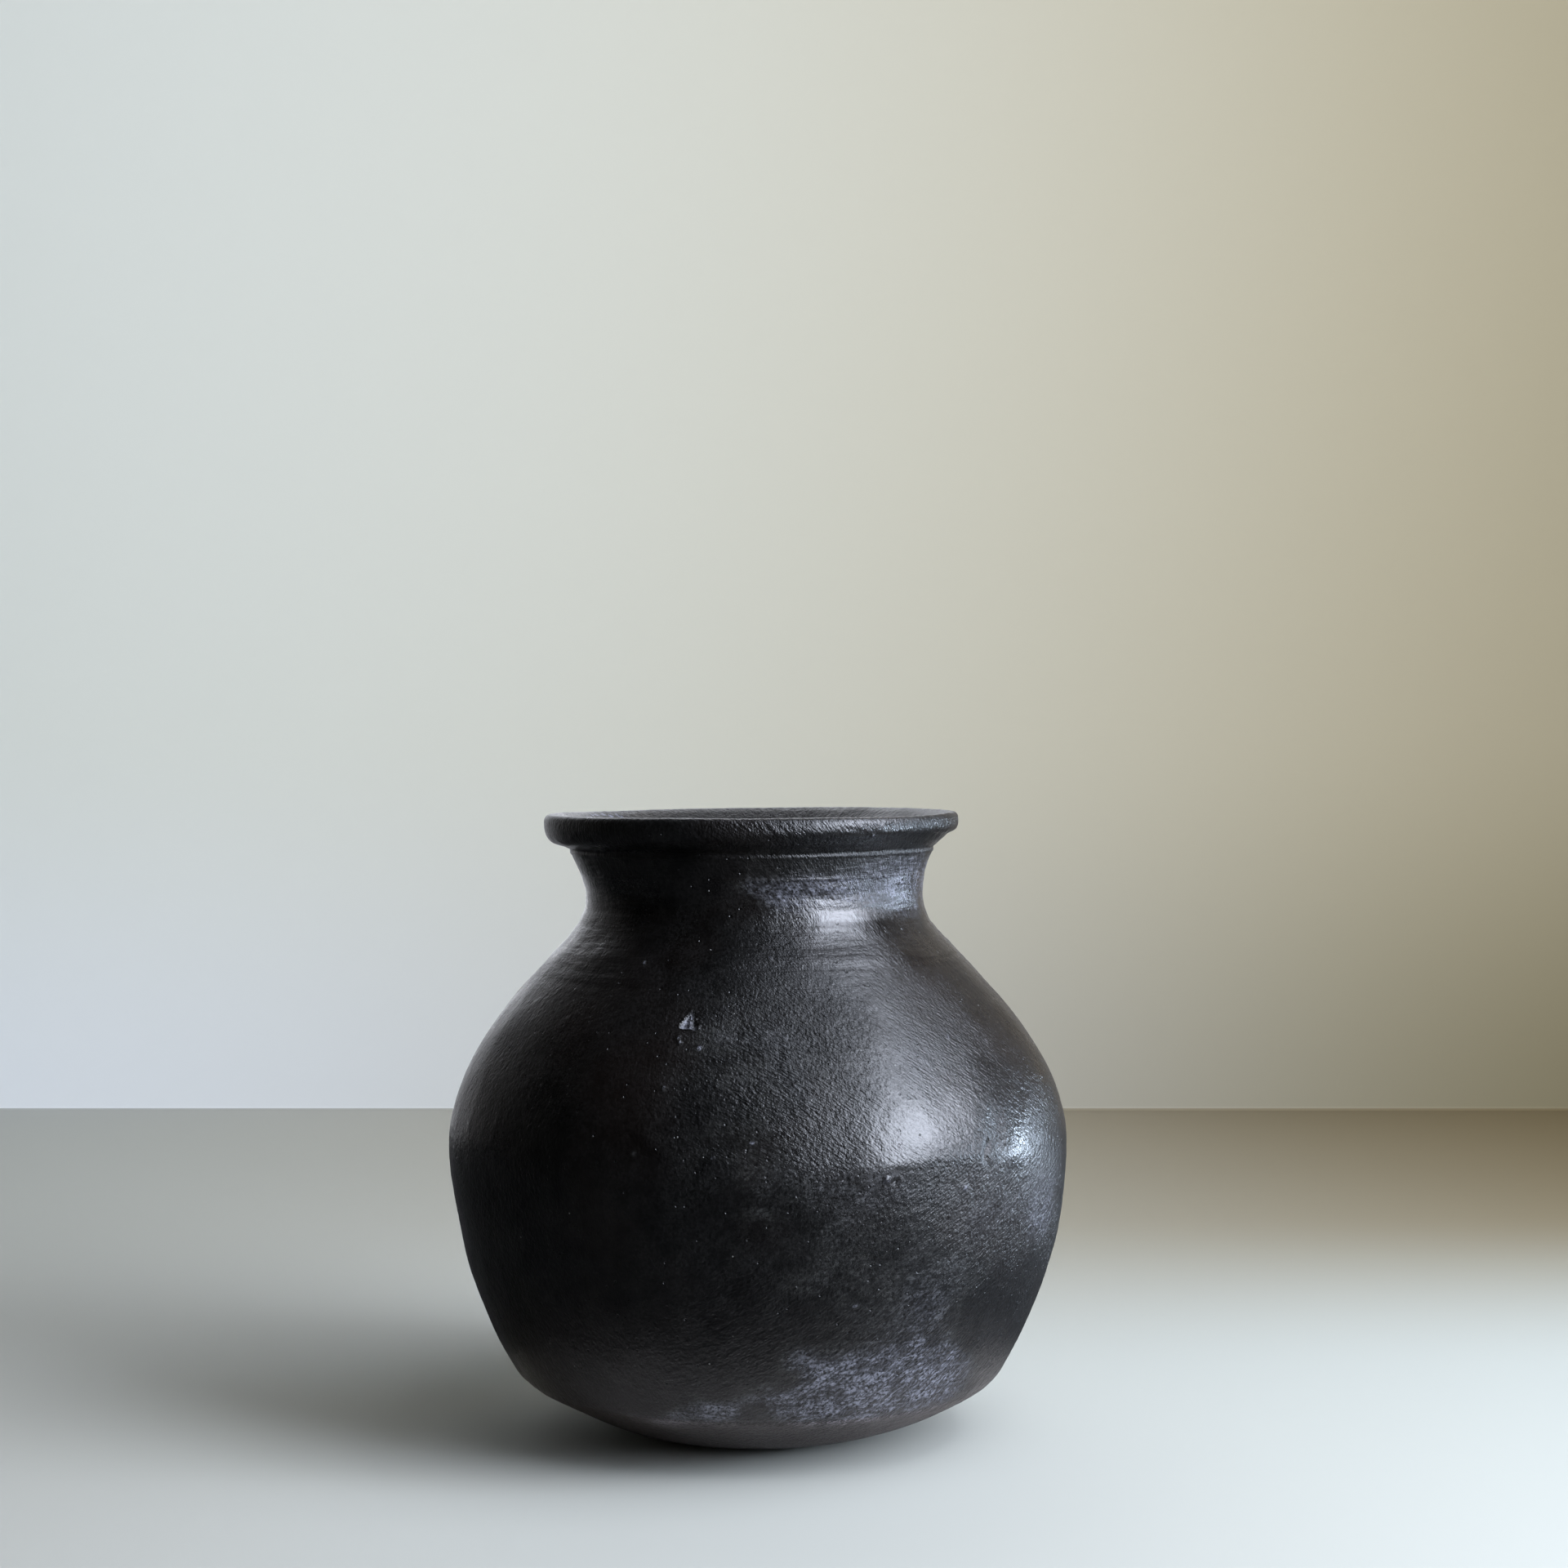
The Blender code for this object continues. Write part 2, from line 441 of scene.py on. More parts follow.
def chip_relief(angle, z, points):
    """The spalled spot: a shallow pit with a lip, and a ridge down its middle."""
    share = chip_share(angle, z, points)
    x = across_from(angle, CHIP[0], points)
    ridge = bell(x, 0.2, 0.8) * ramp(z, CHIP[1] - 5.0, CHIP[1] - 3.0)
    lip = ramp(share, 0.0, 0.02) * (1 - ramp(share, 0.02, 0.25))
    return 0.5 * lip + ramp(share, 0.05, 0.40) * (ridge - 1.4)


def stroke_lines(wrap, way):
    """Coordinates in which strokes run level, drawn out. way is 1 for falling rightwards, -1 for rising."""
    across = wrap[:, 0] * math.cos(STROKE_SIDE) + wrap[:, 1] * math.sin(STROKE_SIDE)
    return np.column_stack((wrap[:, :2] * STROKE_STRETCH, wrap[:, 2] + way * STROKE_SLOPE * across))


def grain_relief(angle, z, wrap):
    """Rubbing strokes on the side towards STROKE_SIDE, coarser scraping on the other, and grain on both."""
    facing = ramp(np.cos(np.radians(angle) - STROKE_SIDE), 0.1, 0.8)
    upper = ramp(z, *STROKE_TURN)
    falling, rising = (noise(stroke_lines(wrap, way), STROKE_SIZE, STROKE_SEED) for way in (1, -1))
    strokes = STROKE_DEPTH * facing * (falling * upper + rising * (1 - upper))
    return strokes + layer("grain", wrap) + (1 - facing) * layer("scraping", wrap)


def hand_relief(angle, z, points, wrap):
    """What the hands left all over: lumps, grain, a slow ripple, and the wiped lines round the neck."""
    neck = wiped_share(z)
    rim = ramp(z, CREASE[1], CREASE[1] + 3)
    lumps = layer("lumps", points) + SMALL_LUMPS * cloud(points, 34.0, 4, 2)
    rough = (1 - 0.6 * polished(angle, z)) * (1 - 0.5 * neck)
    relief = lumps * (1 - 0.45 * rim) + rough * grain_relief(angle, z, wrap)
    relief += layer("ripple", wrap) * (1 - 0.5 * rim)
    return relief + (layer("wiped_fine", wrap) + layer("wiped_broad", wrap)) * neck


def scar(angle, z, middle, width, height, reach, depth):
    """A mark on the belly, cut in by depth."""
    return -depth * bell(gap(angle, middle) * BELLY_DEGREE, 0, width) * bell(z, height, reach)


def belly_relief(angle, z):
    """The scraped edge on the right of the belly, with its crack and its dent."""
    turn = gap(angle, 0)
    edge = np.interp(turn, *np.array(BELLY_EDGE).T)
    tent = np.exp(-np.sqrt((z - edge) ** 2 + 0.8) / 9.0)
    relief = EDGE_RISE * ramp(turn, 2, 24) * (1 - ramp(turn, 44, 60)) * tent
    relief += scar(angle, z, CRACK[0] + 0.6 * np.sin(z * 0.5), *CRACK[1:])
    return relief + scar(angle, z, *DENT)


def ring_relief(angle, z, points):
    """The level lines round the pot."""
    wandering = 0.4 + 0.6 * ramp(noise(points, 40.0, 20), -0.4, 0.5)
    front = bell(gap(angle, 12), 0, 45)
    relief = np.zeros_like(z)
    for height, width, rise, wanders, in_front in RINGS:
        relief += rise * bell(z, height, width) * (wandering if wanders else 1) * (front if in_front else 1)
    return relief


def rim_relief(angle, z, wrap):
    """The rim: its roll flattened on the right and fuller on the left, wrinkles, and a scratch."""
    rim = ramp(z, CREASE[1], CREASE[1] + 3)
    side = np.sin(np.radians(angle))
    relief = -1.5 * side * bell(z, 288.4, 2.6) * ramp(z, CREASE[1], CREASE[1] + 2)
    wrinkle = layer("wrinkles", wrap) + layer("wrinkles_broad", wrap)
    right = 0.3 + 0.7 * ramp(gap(angle, 0), -5, 25)
    relief += wrinkle * rim * right * (1 - 0.6 * ramp(z, 296, 299))
    middle, height, depth = SCRATCH
    scratch = z - height - 3.0 * np.cos(np.radians(gap(angle, middle - 3.0)) * 14)
    return relief - depth * bell(scratch, 0, 0.5) * bell(gap(angle, middle), 0, 5.0) * rim


def outer_relief(angle, z, points, wrap):
    """How far the outside stands proud of the outline, in millimetres."""
    relief = hand_relief(angle, z, points, wrap) + belly_relief(angle, z) + ring_relief(angle, z, points)
    relief += crumb_relief(angle, z, points) + chip_relief(angle, z, points) + rim_relief(angle, z, wrap)
    # The dish is flatter on its left.
    left = np.clip(np.cos(np.radians(angle + 75)), 0, 1)
    relief -= 1.5 * left * bell(z, 17.0, 13.0)
    return relief * ramp(z, 1.0, 16.0)


def inner_relief(z, points, wrap):
    """The inside is left as the fingers pressed it."""
    fingers = layer("finger_lines", wrap) + layer("finger_dents", points)
    return fingers * ramp(z, 11.0, 30.0) + layer("inside_grain", points)


# ---------------------------------------------------------------- paint

# Left edge of the dust on the front, as (height, angle). It follows the line where the lit right side turns
# to the shaded left, so the paleness right of it is partly real dust and partly painted light; left of it the
# front has none.
DUST_AND_LIGHT_EDGE = (
    (28.0, -34.0), (34.0, -19.0), (45.0, -4.0), (59.0, 5.0), (70.0, 11.0), (89.0, 13.0),
    (106.0, 10.0), (142.0, -6.0), (176.0, -14.0), (210.0, -12.0), (236.0, -6.0), (262.0, -3.0),
)


def dust_share(turn, z, points):
    """The silver dust, with painted light: thick at the foot, and thinner up the right side, on the back and
    round the neck, and on the front only right of the edge where the lit side turns to the shaded one.
    """
    edge = np.interp(z, *np.array(DUST_AND_LIGHT_EDGE).T) + 9.0 * noise(points, 16.0, 61)
    foot = bell(z, 44, 17) * (1 - ramp(turn, 48, 66))
    below_belly = 0.25 * bell(z, 84, 26) + 0.24 * bell(z, 128, 24) * (1 - 0.8 * ramp(turn, 62, 74))
    above_belly = 0.20 * bell(z, 190, 34) * (1 - ramp(turn, 34, 50)) + 0.46 * bell(z, 267, 15)
    right_edge = 0.34 * bell(turn, 64, 7) * bell(z, 108, 26) - 1.6 * bell(turn, 60, 13) * bell(z, 68, 24)
    bloom = foot + below_belly + above_belly + right_edge
    bloom *= ramp(turn - edge, -6.0, 14.0) * (1 - ramp(turn, 100, 150))
    bloom += 0.55 * bell(turn, 178, 50) * bell(z, 60, 40) + 0.4 * bell(turn, -130, 30) * bell(z, 190, 30)
    return bloom * (1 + 0.6 * cloud(points, 40.0, 51))


def pale_marks_and_painted_light(angle, turn, z, points, chip):
    """Pale small places: painted glints on the far inner lip, dust under the flare, the chip with its left
    half painted lighter, and the crumbs.
    """
    radius = np.hypot(points[:, 0], points[:, 1])
    # Painted glints: pale spots on the far inner lip that stand in for the window's highlights there.
    lip = ramp(radius, RIM[0] - 4, RIM[0] - 6) * ramp(z, 292, 294) * bell(gap(angle, -126), 0, 10)
    under_flare = 0.4 * bell(z, 266, 6) * bell(turn, 24, 17)
    marks = lip * ramp(noise(points, 2.4, 81), 0.15, 0.35) + under_flare
    # The chip's exposed clay is paler, and its left half is painted paler still: painted light on the pit's
    # wall that faces the window.
    marks += chip * (0.34 + 0.30 * ramp(gap(angle, CHIP[0]), 0.6, -0.4))
    return marks + 0.60 * crumb_share(angle, z, points)


def burnish_share(angle, turn, z, points, neck_spot):
    """How well the clay was rubbed: best right of the belly, on the neck's spot and on the rim's right."""
    burnish = 0.45 + 0.4 * cloud(points, 30.0, 58) + 0.6 * polished(angle, z) + 0.8 * neck_spot
    rim = 0.5 * ramp(turn, 5, 22) * (1 - ramp(turn, 38, 52)) - 0.25
    burnish += rim * ramp(z, CREASE[1] + 1, CREASE[1] + 3)
    burnish -= 0.5 * ramp(z, FLARE[1], FLARE[1] + 1.5) * (1 - ramp(z, CREASE[1], CREASE[1] + 2))
    return burnish - 0.3 * (1 - ramp(z, FOOT[1] - 2, FOOT[1] + 3))


def painted(angle, z, points, inside):
    """Where the surface differs, as four shares: silver dust with painted light, brown, burnish, and inside.
    """
    turn = gap(angle, 0)
    chip = ramp(chip_share(angle, z, points), 0.05, 0.3)
    neck_spot = bell(turn, 31, 15) * bell(z, 250.5, 6)
    bloom = dust_share(turn, z, points) - 0.35 * neck_spot + pale_marks_and_painted_light(angle, turn, z, points, chip)
    brown = 0.4 * cloud(points, 60.0, 55) + 0.5 * bell(z, 24, 16)
    brown += 0.5 * bell(turn, -50, 24) * bell(z, 50, 34)
    burnish = burnish_share(angle, turn, z, points, neck_spot) - chip
    return np.clip(np.column_stack((bloom, brown, burnish, inside)), 0, 1)


# ---------------------------------------------------------------- members

# Vertices in a full ring, the radius below which rings get fewer, and the fewest they come down to.
AROUND = 832
FULL_RADIUS = 50.0
FEWEST_AROUND = 52
# The wrap coordinates run round a drum of this radius.
WRAP_RADIUS = 125.0
# Height between a joint's outer and inner edges. It is halved at the flare and at the crease.
JOINT_BEVEL = 7.0
DISH_BEVEL = 2.0

# Node name, and the outer and inner heights of the joint at its top.
JOINTS = (
    ("base_dish", FOOT[1], FOOT[1] + DISH_BEVEL),
    ("lower_wall", BELLY[1], BELLY[1] - JOINT_BEVEL),
    ("shoulder_wall", SHOULDER[1], SHOULDER[1] - JOINT_BEVEL),
    ("neck_collar", FLARE[1], FLARE[1] - JOINT_BEVEL / 2),
    ("flare_coil", CREASE[1], CREASE[1] + JOINT_BEVEL / 2),
)

# Distance between rings: on the outside of the wall and of the collar, near a fine line, and on the inside
# below and above the shoulder; then on the rim, near its crest, and on the rim's inside.
RING_STEP = 1.15
COLLAR_STEP = 0.9
FINE_STEP = 0.35
FINE_REACH = 2.2
INSIDE_STEP = 4.0
NECK_INSIDE_STEP = 1.6
RIM_STEP = 0.8
CREST_STEP = 0.45
CREST_REACH = 5.0
FUNNEL_STEP = 0.9


def lean(points):
    """Leans finished points the way the CAD leans."""
    x, y, z = points.T
    share = ramp(z, LEAN_FROM, CREASE[1])
    waist = WAIST_BULGE * bell(z, WAIST_HEIGHT, WAIST_REACH)
    return np.column_stack((x - LEAN * share + waist, y, z + RIM_RISE * share * x))


def around_at(radius):
    """How many vertices a ring of this radius has: fewer near the middle, so that no face is a sliver."""
    count = AROUND
    while count > FEWEST_AROUND and radius < FULL_RADIUS * count / AROUND:
        count //= 2
    return count


def halving(a, b):
    """Triangles from ring a to ring b, which has half as many vertices."""
    faces = []
    for i in range(len(b)):
        p, q, s = a[2 * i], a[2 * i + 1], a[(2 * i + 2) % len(a)]
        u, v = b[i], b[(i + 1) % len(b)]
        faces += [(p, q, u), (q, v, u), (q, s, v)]
    return faces


def stitch(rings):
    """Faces between neighbouring rings, which may have half or twice the vertices of the last, or one."""
    faces = []
    for a, b in zip(rings, rings[1:]):
        if len(b) == 1:
            faces += [(a[i], a[(i + 1) % len(a)], b[0]) for i in range(len(a))]
        elif len(a) == 1:
            faces += [(a[0], b[(i + 1) % len(b)], b[i]) for i in range(len(b))]
        elif len(a) == len(b):
            faces += [(a[i], a[(i + 1) % len(a)], b[(i + 1) % len(a)], b[i]) for i in range(len(a))]
        elif len(a) == 2 * len(b):
            faces += halving(a, b)
        else:
            faces += [face[::-1] for face in halving(b, a)]
    return faces


def placed(sampled, s, side, angle):
    """Finished points, wrap coordinates and paint, for places on a line and as many angles.

    side is 0 on the outside, 1 on the inside, and -1 on a joint face, which has no relief.
    """
    r, z, nr, nz = sampled
    sin, cos = np.sin(np.radians(angle)), np.cos(np.radians(angle))
    base = np.column_stack((r * sin, -r * cos, z))
    normal = np.column_stack((nr * sin, -nr * cos, nz))
    wrap = np.column_stack((WRAP_RADIUS * sin, -WRAP_RADIUS * cos, s))
    inside = np.clip(side, 0, 1)
    outer = outer_relief(angle, z, base, wrap)
    inner = inner_relief(z, base, wrap)
    relief = np.where(side < 0, 0, outer * (1 - inside) + inner * inside)
    points = lean(base + normal * relief[:, None])
    return points, wrap, painted(angle, z, base, inside)


def seam_normals(line, s, angle, side):
    """Normals of the whole surface along a seam, so that two members meet without a crease in the shading."""
    h, turn = 0.3, 0.15
    sides = np.full(len(angle), side)

    def at(distance, angles):
        distances = np.full(len(angles), distance)
        return placed(line.sample(distances).T, distances, sides, angles)[0]

    along = at(s + h, angle) - at(s - h, angle)
    across = at(s, angle + turn) - at(s, angle - turn)
    normal = np.cross(across, along)
    return normal / np.linalg.norm(normal, axis=1)[:, None]


def full_turn(count):
    """As many angles, evenly round the pot."""
    return np.arange(count) * 360.0 / count


def ring_layout(rows):
    """The vertex numbers of each row's ring, and for every vertex its row's values and its angle."""
    rings, parts, start = [], [], 0
    for row in rows:
        count = 1 if row[0] < 0.01 else around_at(row[0])
        parts.append(np.column_stack((np.tile(row, (count, 1)), full_turn(count))))
        rings.append(list(range(start, start + count)))
        start += count
    return rings, np.concatenate(parts).T


def set_seam_normals(mesh, rings, rows, seams):
    """Gives the faces next to each seam the whole surface's normals there."""
    corners = np.empty(len(mesh.loops), np.int32)
    mesh.loops.foreach_get("vertex_index", corners)
    face_size = np.empty(len(mesh.polygons), np.int32)
    mesh.polygons.foreach_get("loop_total", face_size)
    face_of = np.repeat(np.arange(len(face_size)), face_size)
    ring_of = np.repeat(np.arange(len(rings)), [len(ring) for ring in rings])[corners]
    highest = np.zeros(len(face_size), np.int64)
    np.maximum.at(highest, face_of, ring_of)
    lowest = np.full(len(face_size), len(rings))
    np.minimum.at(lowest, face_of, ring_of)
    normals = np.zeros((len(corners), 3))
    for row, line, distance, other in seams:
        ring = rings[row]
        found = seam_normals(line, distance, full_turn(len(ring)), rows[row][5])
        between = (lowest[face_of] == min(row, other)) & (highest[face_of] == max(row, other))
        wanted = (ring_of == row) & between
        normals[wanted] = found[corners[wanted] - ring[0]]
    mesh.normals_split_custom_set(normals.tolist())


def build_member(name, rows, seams, material):
    """A closed ring of clay. Each row is radius, height, normal, distance along its line, and its side.

    seams lists the rows that meet a neighbour, as (row, line, distance, the row on the seam's smooth side).
    """
    rings, (r, z, nr, nz, s, side, angle) = ring_layout(rows)
    points, wrap, paint = placed((r, z, nr, nz), s, side, angle)
    closed = rings + [rings[0]] if len(rings[0]) > 1 else rings
    mesh = bpy.data.meshes.new(name)
    mesh.from_pydata((points * MM).tolist(), [], stitch(closed))
    mesh.attributes.new("wrap", "FLOAT_VECTOR", "POINT").data.foreach_set("vector", (wrap * MM).ravel())
    mesh.attributes.new("paint", "FLOAT_COLOR", "POINT").data.foreach_set("color", paint.ravel())
    mesh.materials.append(material)
    mesh.shade_smooth()
    mesh.set_sharp_from_angle(angle=math.radians(50))
    set_seam_normals(mesh, rings, rows, seams)

    made = bpy.data.objects.new(name + "_clay", mesh)
    bpy.context.scene.collection.objects.link(made)
    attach(made, "root")
    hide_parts(name)


def rows_between(line, start, end, steps, lines, inside):
    """Rows along a line, at steps of (coarse, fine, how far the fine ones reach from any of the lines)."""
    at = spaced(start, end, *steps[:2], lines, steps[2])
    return [(*row, s, inside) for row, s in zip(line.sample(at), at)]


def joint_rows(low, high):
    """Two rows across a joint face, between a row on one side of the wall and a row on the other."""
    rows = []
    for share in (1 / 3, 2 / 3):
        mid = [a + (b - a) * share for a, b in zip(low, high)]
        rows.append((*mid[:5], -1.0))
    return rows


def build_wall_members():
    """Every member below the rim, from the dish up. Returns where the next one starts, outside and inside."""
    marks = [OUT.at_height(z) for z in (FOOT[1], CHIP[1] - 2.5, CHIP[1] + 2.5, FLARE[1], CREASE[1] - 1.8)]
    out_from, inner_from = 0.0, IN.along[-1]
    for name, outer_height, inner_height in JOINTS:
        out_to, inner_to = OUT.at_height(outer_height), IN.at_height(inner_height)
        coarse = COLLAR_STEP if name == "neck_collar" else RING_STEP
        inside_step = NECK_INSIDE_STEP if outer_height > SHOULDER[1] else INSIDE_STEP
        outside = rows_between(OUT, out_from, out_to, (coarse, FINE_STEP, FINE_REACH), marks, 0.0)
        inside = rows_between(IN, inner_to, inner_from, (inside_step, inside_step, 1.0), (), 1.0)
        rows = outside + joint_rows(outside[-1], inside[0]) + inside
        last = len(outside) - 1
        seams = [(last, OUT, out_to, last - 1), (last + 3, IN, inner_to, last + 4)]
        if out_from > 0:
            seams += [(0, OUT, out_from, 1), (len(rows) - 1, IN, inner_from, len(rows) - 2)]
            rows += joint_rows(inside[-1], outside[0])
        build_member(name, rows, seams, clay_material(name + "_burnished", *LOOKS[name]))
        out_from, inner_from = out_to, inner_to
    return out_from, inner_from


def build_rim(out_from, inner_from):
    """The rim's coil, whose outside turns into the inside in the funnel."""
    crest = OUT.along[np.argmax(OUT.points[:, 1])]
    throat = OUT.along[-1]
    outside = rows_between(OUT, out_from, throat, (RIM_STEP, CREST_STEP, CREST_REACH), [crest, out_from], 0.0)
    outside = [(*row[:5], float(ramp(row[4], crest + 9.0, throat + 2.0))) for row in outside]
    inside = rows_between(IN, 0.0, inner_from, (FUNNEL_STEP, FUNNEL_STEP, 1.0), (), 1.0)[1:]
    rows = outside + inside
    seams = [(0, OUT, out_from, 1), (len(rows) - 1, IN, inner_from, len(rows) - 2)]
    rows += joint_rows(inside[-1], outside[0])
    build_member("rim_coil", rows, seams, clay_material("rim_coil_burnished", *LOOKS["rim_coil"]))


# ---------------------------------------------------------------- material

# Colours of the clay, linear. Each pair is the darker and the paler end of a mottle.
BLACK = ((0.0012, 0.0011, 0.0010, 1), (0.0090, 0.0087, 0.0085, 1))
BROWN = (0.014, 0.0088, 0.0072, 1)
# The dust's colours also paint the glints on the far inner lip and the lit half of the chip.
DUST_AND_PAINTED_LIGHT_TONES = ((0.085, 0.086, 0.080, 1), (0.185, 0.190, 0.226, 1))
PIT = (0.003, 0.003, 0.003, 1)
SALT = (0.26, 0.26, 0.25, 1)
CRUST = ((0.010, 0.008, 0.007, 1), (0.030, 0.025, 0.022, 1))

# Sizes of the noises and spots.
MOTTLE_SIZE = 0.014
PEEL_SIZE = 0.0030
SCUFF_SIZE = 0.0020
STREAK_SIZE = 0.0016
DUST_SIZE = 0.0014
GRAIN_SIZE = 0.0014
PEPPER_SIZE = 0.0013
FINE_SIZE = 0.0012
PIT_SPACING, PIT_RADIUS, PIT_SHARE = 0.0045, 0.0008, 0.35
SALT_SPACING, SALT_RADIUS, SALT_SHARE = 0.012, 0.0005, 0.30

# How far the wrap coordinates are squeezed for level streaks and for the grain.
LEVEL = (0.12, 0.12, 1.0)
DRAWN = (1.0, 1.0, 0.7)
# Heights between which the bump turns to level streaks, and those over which they fade.
STREAKS_IN = (0.206, 0.238)
STREAKS_OUT = (0.290, 0.278)

# Roughness of the bare clay, what a fine speckle and dust add to it, and what full burnish takes off.
ROUGHNESS = 0.40
SPECKLED = 0.25
DUSTY = 0.2
BURNISHED = -0.14
CLAY_IOR = 1.42
COAT_ROUGHNESS = 0.21
BUMP_DEPTH = 0.0009

# Each member's tint, which multiplies its colour, and how well it was rubbed, 1 for a plain wall.
LOOKS = {
    "base_dish": ((1.9, 1.7, 1.6), 0.55),
    "lower_wall": ((1.0, 1.0, 1.0), 0.95),
    "shoulder_wall": ((1.0, 1.0, 1.0), 1.05),
    "neck_collar": ((1.0, 1.0, 1.0), 1.4),
    "flare_coil": ((1.0, 0.98, 0.96), 1.3),
    "rim_coil": ((1.0, 1.0, 1.0), 1.5),
}


def node(tree, kind, inputs=(), **settings):
    """Adds a shader node. Each input is a number, a colour, or another node's output to link."""
    made = tree.nodes.new("ShaderNode" + kind)
    for key, value in settings.items():
        setattr(made, key, value)
    for key, value in dict(inputs).items():
        if isinstance(value, bpy.types.NodeSocket):
            tree.links.new(value, made.inputs[key])
        else:
            made.inputs[key].default_value = value
    return made


def maths(tree, operation, a, b=0.0, clamp=False):
    return node(tree, "Math", {0: a, 1: b}, operation=operation, use_clamp=clamp).outputs[0]


def add(tree, a, b, clamp=False):
    return maths(tree, "ADD", a, b, clamp)


def times(tree, a, b, clamp=False):
    return maths(tree, "MULTIPLY", a, b, clamp)


def rest_of(tree, value):
    """One minus the value."""
    return maths(tree, "SUBTRACT", 1.0, value)


def vector_maths(tree, operation, a, b):
    """Sum or product of two vectors, part by part."""
    return node(tree, "VectorMath", {0: a, 1: b}, operation=operation).outputs[0]


def dot(tree, a, b):
    return node(tree, "VectorMath", {0: a, 1: b}, operation="DOT_PRODUCT").outputs["Value"]


def mixed(tree, share, a, b):
    """Mix of two colours."""
    made = node(tree, "Mix", {0: share, 6: a, 7: b}, data_type="RGBA")
    return made.outputs[2]


def spread(tree, value, low, high):
    """The value with low to high stretched to 0 to 1, smoothly."""
    ends = {0: value, 1: low, 2: high, 3: 0.0, 4: 1.0}
    return node(tree, "MapRange", ends, interpolation_type="SMOOTHSTEP").outputs[0]


def scaled(tree, value, factor, base):
    """The value times factor, plus base."""
    return add(tree, times(tree, value, factor), base)


def speckle(tree, vector, size, detail=2.0, rough=0.5):
    """Noise with lumps about size metres apart."""
    made = node(tree, "TexNoise", {"Vector": vector, "Scale": 1 / size, "Detail": detail, "Roughness": rough})
    return made.outputs["Fac"]


def stroked(tree, wrap, upper, size, detail, rough):
    """Noise drawn out along the strokes: falling rightwards where upper is 1, and rising where it is 0."""
    both = []
    for way in (-1, 1):
        slope = way * STROKE_SLOPE
        level = dot(tree, wrap, (slope * math.cos(STROKE_SIDE), slope * math.sin(STROKE_SIDE), 1.0))
        flat = vector_maths(tree, "MULTIPLY", wrap, (STROKE_STRETCH, STROKE_STRETCH, 0.0))
        rise = node(tree, "CombineXYZ", {2: level}).outputs[0]
        both.append(speckle(tree, vector_maths(tree, "ADD", flat, rise), size, detail, rough))
    rising, falling = both
    return add(tree, times(tree, falling, upper), times(tree, rising, rest_of(tree, upper)))


def spots(tree, vector, size, radius, share):
    """Round spots, 1 inside and 0 outside: cells about size metres apart, of which a share hold a spot."""
    cells = node(tree, "TexVoronoi", {"Vector": vector, "Scale": 1 / size})
    inside = spread(tree, cells.outputs["Distance"], radius / size, 0.5 * radius / size)
    chosen = node(tree, "SeparateColor", {0: cells.outputs["Color"]}).outputs[0]
    return times(tree, inside, maths(tree, "LESS_THAN", chosen, share))


class Surface:
    """What the clay's material reads at a point: its place, its paint, and the noises that parts share."""

    def __init__(self, tree):
        self.place = node(tree, "TexCoord").outputs["Object"]
        self.up = node(tree, "SeparateXYZ", {0: self.place}).outputs[2]
        self.wrap = node(tree, "Attribute", attribute_name="wrap").outputs["Vector"]
        paint = node(tree, "Attribute", attribute_name="paint")
        shares = node(tree, "SeparateColor", {0: paint.outputs["Color"]}).outputs
        self.bloom, self.brown, self.burnish = shares
        self.inside = paint.outputs["Alpha"]
        towards = dot(tree, self.wrap, (math.sin(STROKE_SIDE), -math.cos(STROKE_SIDE), 0.0))
        self.facing = spread(tree, towards, 0.1 * WRAP_RADIUS * MM, 0.8 * WRAP_RADIUS * MM)
        self.upper = spread(tree, self.up, STROKE_TURN[0] * MM, STROKE_TURN[1] * MM)
        self.mottle = speckle(tree, self.place, MOTTLE_SIZE, 6.0, 0.7)
        self.streaks = speckle(tree, vector_maths(tree, "MULTIPLY", self.wrap, LEVEL), STREAK_SIZE, 3.0, 0.6)
        self.pits = spots(tree, self.place, PIT_SPACING, PIT_RADIUS, PIT_SHARE)
        self.salt = spots(tree, self.place, SALT_SPACING, SALT_RADIUS, SALT_SHARE)
        self.dust_and_light_cover = self.cover_of_dust_and_light(tree)

    def cover_of_dust_and_light(self, tree):
        """Share of dust and painted light: the first paint share, broken up by its grain, by scuffs, by the
        mottle and by level streaks.
        """
        grain = spread(tree, speckle(tree, self.place, DUST_SIZE, 3.0, 0.8), 0.38, 0.58)
        rubbed = spread(tree, stroked(tree, self.wrap, self.upper, SCUFF_SIZE, 3.0, 0.7), 0.42, 0.60)
        scuffs = add(tree, rubbed, rest_of(tree, self.facing), clamp=True)
        cover = times(tree, self.bloom, grain)
        cover = times(tree, cover, add(tree, scuffs, 0.30))
        cover = times(tree, cover, scaled(tree, spread(tree, self.mottle, 0.3, 0.6), 0.8, 0.32))
        return times(tree, cover, add(tree, spread(tree, self.streaks, 0.35, 0.62), 0.45), clamp=True)


